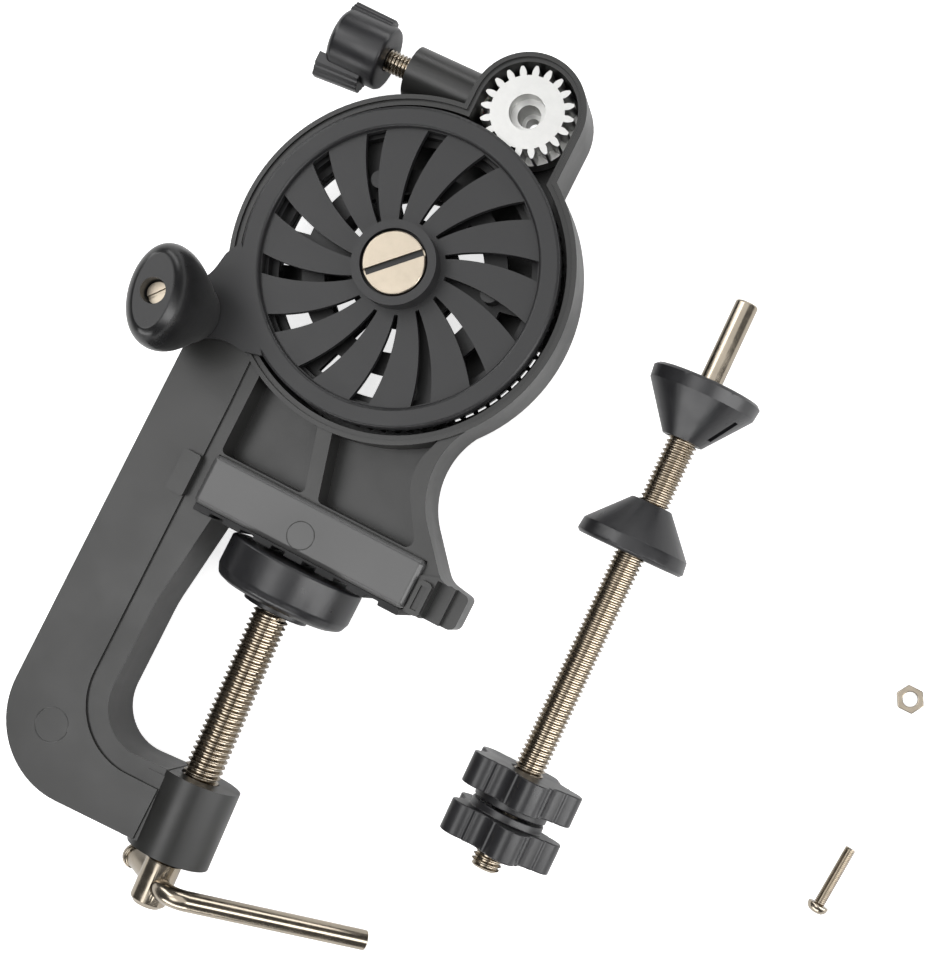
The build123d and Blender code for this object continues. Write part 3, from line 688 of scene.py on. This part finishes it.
class WINDER_OT_clamp(bpy.types.Operator):
    """Build the clamp screw, its tommy bar and the swivel pad"""
    bl_idname = "winder.clamp"
    bl_label = "Clamp screw"

    def execute(self, context):
        sizes = context.scene.winder_sizes
        nickel = material("nickel", context)
        place = joint_place("clamp_turn")
        head = merged_copy("clamp_screw")
        shoulder = place @ Vector((0, CLAMP_HEAD_END, 0))
        axis = (place.to_3x3() @ Vector((0, 1, 0))).normalized()
        geom = head.verts[:] + head.edges[:] + head.faces[:]
        bmesh.ops.bisect_plane(head, geom=geom, dist=1e-7, plane_co=shoulder, plane_no=axis,
                               clear_outer=True)
        bmesh.ops.holes_fill(head, edges=[e for e in head.edges if e.is_boundary], sides=0)
        soften(head, sizes.gear_edge)
        shaft = bmesh.new()
        threaded(shaft, CLAMP_RADIUS, sizes.screw_pitch / MM, *CLAMP_THREAD, sizes.thread_sides, 0.7)
        neck = bmesh.new()
        spun(neck, CLAMP_NECK, 40)
        bmesh.ops.recalc_face_normals(neck, faces=neck.faces)
        add_part(shaft, neck)
        moved(shaft, place)
        add_part(head, shaft)
        piece("clamp_screw_thread", head, nickel, ("clamp_screw",))

        bar = merged_copy("tommy_bar")
        soften(bar, 0.5 * MM, 60, 3)
        piece("tommy_bar_bent", bar, nickel, ("tommy_bar",), sharp=50)

        pad = merged_copy("swivel_pad")
        soften(pad, sizes.knob_edge, 30, 3)
        piece("pad_moulding", pad, material("knobs", context), ("swivel_pad",))
        ring = merged_copy("pad_retainer")
        soften(ring, sizes.wheel_edge)
        piece("pad_ring", ring, material("knobs", context), ("pad_retainer",))
        return {"FINISHED"}


# ---------------------------------------------------------------- spindle
ROD_RADIUS = 4.0
ROD_HALF = 78.0
ROD_TAIL = 1.6          # the threaded end goes this much further from the middle than the plain one
ROD_THREAD = (-ROD_HALF - ROD_TAIL, 54.2)
ROD_SLOT = ((-6, 6), (-82, 1.6 - ROD_HALF - ROD_TAIL), (-0.55, 0.55))
ROD_END = ((0, 53.6), (3.0, 53.6), (3.0, 77.4), (2.85, 77.75), (2.45, ROD_HALF), (0, ROD_HALF))


def spindle_place():
    """Frame of the rod: +Y along it, origin 78 mm from its plain end, built in millimetres."""
    low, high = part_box("spindle_rod")
    axis = Vector(JOINTS["near_star_turn"]["axis"]).normalized()
    turn = Vector((0, 1, 0)).rotation_difference(axis).to_matrix().to_4x4()
    return Matrix.Translation((low + high) / 2 + axis * ROD_TAIL / 2 * MM) @ turn @ Matrix.Scale(MM, 4)


class WINDER_OT_spindle(bpy.types.Operator):
    """Build the threaded spindle rod with its plain end"""
    bl_idname = "winder.spindle"
    bl_label = "Spindle rod"

    def execute(self, context):
        sizes = context.scene.winder_sizes
        rod = bmesh.new()
        threaded(rod, ROD_RADIUS, sizes.rod_pitch / MM, *ROD_THREAD, sizes.thread_sides)
        carve(rod, boxed(*ROD_SLOT))
        end = bmesh.new()
        spun(end, ROD_END, 48)
        bmesh.ops.recalc_face_normals(end, faces=end.faces)
        add_part(rod, end)
        moved(rod, spindle_place())
        piece("spindle_rod_thread", rod, material("nickel", context), ("spindle_rod",))
        return {"FINISHED"}


SLIT = ((-0.9, 0.9), (-4.2, 4.2), (-4.0, 4.0))         # long window in the upper cone's side
SLIT_PLACE = (10.6, 44.4, 0)
SLIT_LEAN = -34.0       # degrees, along the cone's slope
SLIT_TURN = -28.0       # degrees round the rod


class WINDER_OT_cones(bpy.types.Operator):
    """Build the two centring cones on the spindle"""
    bl_idname = "winder.cones"
    bl_label = "Cones"

    def execute(self, context):
        for name, node in (("cone_upper_moulding", "upper_cone"), ("cone_lower_moulding", "lower_cone")):
            cone = merged_copy(node)
            if node == "upper_cone":
                carve(cone, self.slit())
            soften(cone, 0.3 * MM, 25)
            piece(name, cone, material("knobs", context), (node,))
        return {"FINISHED"}


    @staticmethod
    def slit():
        """Cutter for the long window low in the upper cone's side."""
        lean = Matrix.Rotation(radians(SLIT_LEAN), 4, "Z") @ Matrix.Rotation(pi / 2, 4, "Y")
        side = Matrix.Rotation(radians(SLIT_TURN), 4, "Y") @ Matrix.Translation(SLIT_PLACE)
        return moved(boxed(*SLIT), spindle_place() @ side @ lean)


class WINDER_OT_stars(bpy.types.Operator):
    """Build the two five-lobed hand nuts"""
    bl_idname = "winder.stars"
    bl_label = "Hand nuts"

    def execute(self, context):
        for name, node in (("star_near_moulding", "star_nut_near"), ("star_far_moulding", "star_nut_far")):
            star = merged_copy(node)
            soften(star, context.scene.winder_sizes.knob_edge, 40, 3)
            piece(name, star, material("knobs", context), (node,))
        dressed(material("brass", context), "star_insert_near", "star_insert_far")
        return {"FINISHED"}


# ---------------------------------------------------------------- loose fasteners
LOOSE_RADIUS = 1.5
LOOSE_THREAD = (-6.9, 9.3)
LOOSE_TURN = 3.0        # degrees from +Y towards +X
PAN_HEAD = ((0, -9.2), (1.0, -9.18), (1.7, -9.0), (2.3, -8.5), (2.62, -7.8), (2.7, -7.1),
            (2.6, -6.9), (0, -6.9))
CROSS_ARM = ((-1.5, 1.5), (-10, -8.2), (-0.3, 0.3))


class WINDER_OT_fasteners(bpy.types.Operator):
    """Build the loose pan-head screw and nut"""
    bl_idname = "winder.fasteners"
    bl_label = "Loose fasteners"

    def execute(self, context):
        sizes = context.scene.winder_sizes
        low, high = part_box("loose_screw")
        axis = Vector((sin(radians(LOOSE_TURN)), cos(radians(LOOSE_TURN)), 0))
        turn = Vector((0, 1, 0)).rotation_difference(axis).to_matrix().to_4x4()
        place = Matrix.Translation((low + high) / 2) @ turn @ Matrix.Scale(MM, 4)
        screw = bmesh.new()
        threaded(screw, LOOSE_RADIUS, sizes.small_pitch / MM, *LOOSE_THREAD, 20, 0.3)
        head = bmesh.new()
        spun(head, PAN_HEAD, 40)
        bmesh.ops.recalc_face_normals(head, faces=head.faces)
        for turned in (0, pi / 2):
            cross = boxed(*CROSS_ARM)
            bmesh.ops.rotate(cross, verts=cross.verts, cent=(0, 0, 0),
                             matrix=Matrix.Rotation(turned + 0.5, 3, "Y"))
            carve(head, cross)
        add_part(screw, head)
        moved(screw, place)
        piece("loose_pan_screw", screw, material("nickel", context), ("loose_screw",))
        nut = merged_copy("loose_nut")
        soften(nut, 0.25 * MM)
        piece("loose_hex_nut", nut, material("nickel", context), ("loose_nut",))
        return {"FINISHED"}


# ---------------------------------------------------------------- stage
# Softboxes, in metres: name, place, size, and the stage property that sets its radiance, with a factor.
SOFTBOXES = (("overhead_softbox", (-0.15, 0.15, 1.3), (1.5, 1.5), "overhead", 1.0),
             ("front_softbox", (-0.3, -0.3, 1.2), (0.5, 0.5), "front", 1.0),
             ("left_strip", (-0.75, 0.25, 0.55), (0.22, 1.1), "side", 1.0),
             ("right_strip", (0.8, -0.1, 0.5), (0.3, 1.1), "side", 1.2),
             ("near_strip", (0.0, -0.9, 0.32), (1.0, 0.3), "side", 1.0),
             ("far_strip", (0.1, 0.9, 0.36), (1.0, 0.3), "side", 0.8))
LIGHTS_AIM = (0.03, -0.04, 0.0)


class WINDER_OT_stage(bpy.types.Operator):
    """Lay the white sweep and set the soft light and the camera"""
    bl_idname = "winder.stage"
    bl_label = "Stage"

    def execute(self, context):
        stage = context.scene.winder_stage
        floor = bmesh.new()
        bmesh.ops.create_grid(floor, x_segments=8, y_segments=8, size=stage.floor_size / 2)
        lowest = min(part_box(node)[0].z for node in frame["nodes"])
        bmesh.ops.translate(floor, verts=floor.verts, vec=(0, 0, lowest))
        mesh = bpy.data.meshes.new("paper_sweep")
        floor.to_mesh(mesh)
        floor.free()
        mesh.materials.append(material("paper", context))
        sweep = bpy.data.objects.new("paper_sweep", mesh)
        context.scene.collection.objects.link(sweep)

        world = bpy.data.worlds.new("white_surroundings")
        world.use_nodes = True
        tree = world.node_tree
        seen = add_node(tree, "ShaderNodeLightPath").outputs["Is Camera Ray"]
        glow = add_node(tree, "ShaderNodeMapRange", {"Value": seen, "To Min": stage.sky, "To Max": 0.95})
        tree.nodes["Background"].inputs["Color"].default_value = (1, 1, 1, 1)
        tree.links.new(glow.outputs["Result"], tree.nodes["Background"].inputs["Strength"])
        context.scene.world = world

        for name, place, size, setting, factor in SOFTBOXES:
            self.softbox(context, name, place, size, getattr(stage, setting) * factor)

        lens = bpy.data.cameras.new("camera")
        lens.lens, lens.sensor_width, lens.sensor_fit = stage.lens, 36.0, "AUTO"
        lens.clip_start = 0.01
        camera = bpy.data.objects.new("camera", lens)
        camera.location = stage.camera_place
        camera.rotation_euler = Euler(stage.camera_turn, "XYZ")
        context.scene.collection.objects.link(camera)
        context.scene.camera = camera
        context.scene.view_settings.view_transform = "Standard"
        return {"FINISHED"}


    @staticmethod
    def softbox(context, name, place, size, radiance):
        """A rectangular light aimed at the object, its power set from its radiance and area."""
        light = bpy.data.lights.new(name, "AREA")
        light.shape, light.size, light.size_y = "RECTANGLE", *size
        light.energy = radiance * pi * size[0] * size[1]
        lamp = bpy.data.objects.new(name, light)
        lamp.location = place
        aim = Vector(LIGHTS_AIM) - Vector(place)
        lamp.rotation_euler = aim.to_track_quat("-Z", "Y").to_euler()
        context.scene.collection.objects.link(lamp)


class WINDER_PT_panel(bpy.types.Panel):
    """Lists the winder's sizes, colours and build steps"""
    bl_idname = "WINDER_PT_panel"
    bl_label = "Winder"
    bl_space_type = "VIEW_3D"
    bl_region_type = "UI"
    bl_category = "Winder"

    def draw(self, context):
        scene = context.scene
        for group in (scene.winder_sizes, scene.winder_colours, scene.winder_stage):
            box = self.layout.box()
            for name in group.__annotations__:
                box.prop(group, name)
        for operator in OPERATORS:
            self.layout.operator(operator.bl_idname)


GROUPS = {"winder_sizes": WinderSizes, "winder_colours": WinderColours, "winder_stage": WinderStage}
OPERATORS = (WINDER_OT_body, WINDER_OT_wheel, WINDER_OT_handle, WINDER_OT_pinion, WINDER_OT_brake,
             WINDER_OT_clamp, WINDER_OT_spindle, WINDER_OT_cones, WINDER_OT_stars,
             WINDER_OT_fasteners, WINDER_OT_stage)


def register():
    for made in (*GROUPS.values(), *OPERATORS, WINDER_PT_panel):
        bpy.utils.register_class(made)
    for name, group in GROUPS.items():
        setattr(bpy.types.Scene, name, PointerProperty(type=group))


def unregister():
    for name in GROUPS:
        delattr(bpy.types.Scene, name)
    for made in reversed((*GROUPS.values(), *OPERATORS, WINDER_PT_panel)):
        bpy.utils.unregister_class(made)


def main():
    register()
    for operator in OPERATORS:
        getattr(bpy.ops.winder, operator.bl_idname.split(".")[1])()


if __name__ == "__main__":
    main()
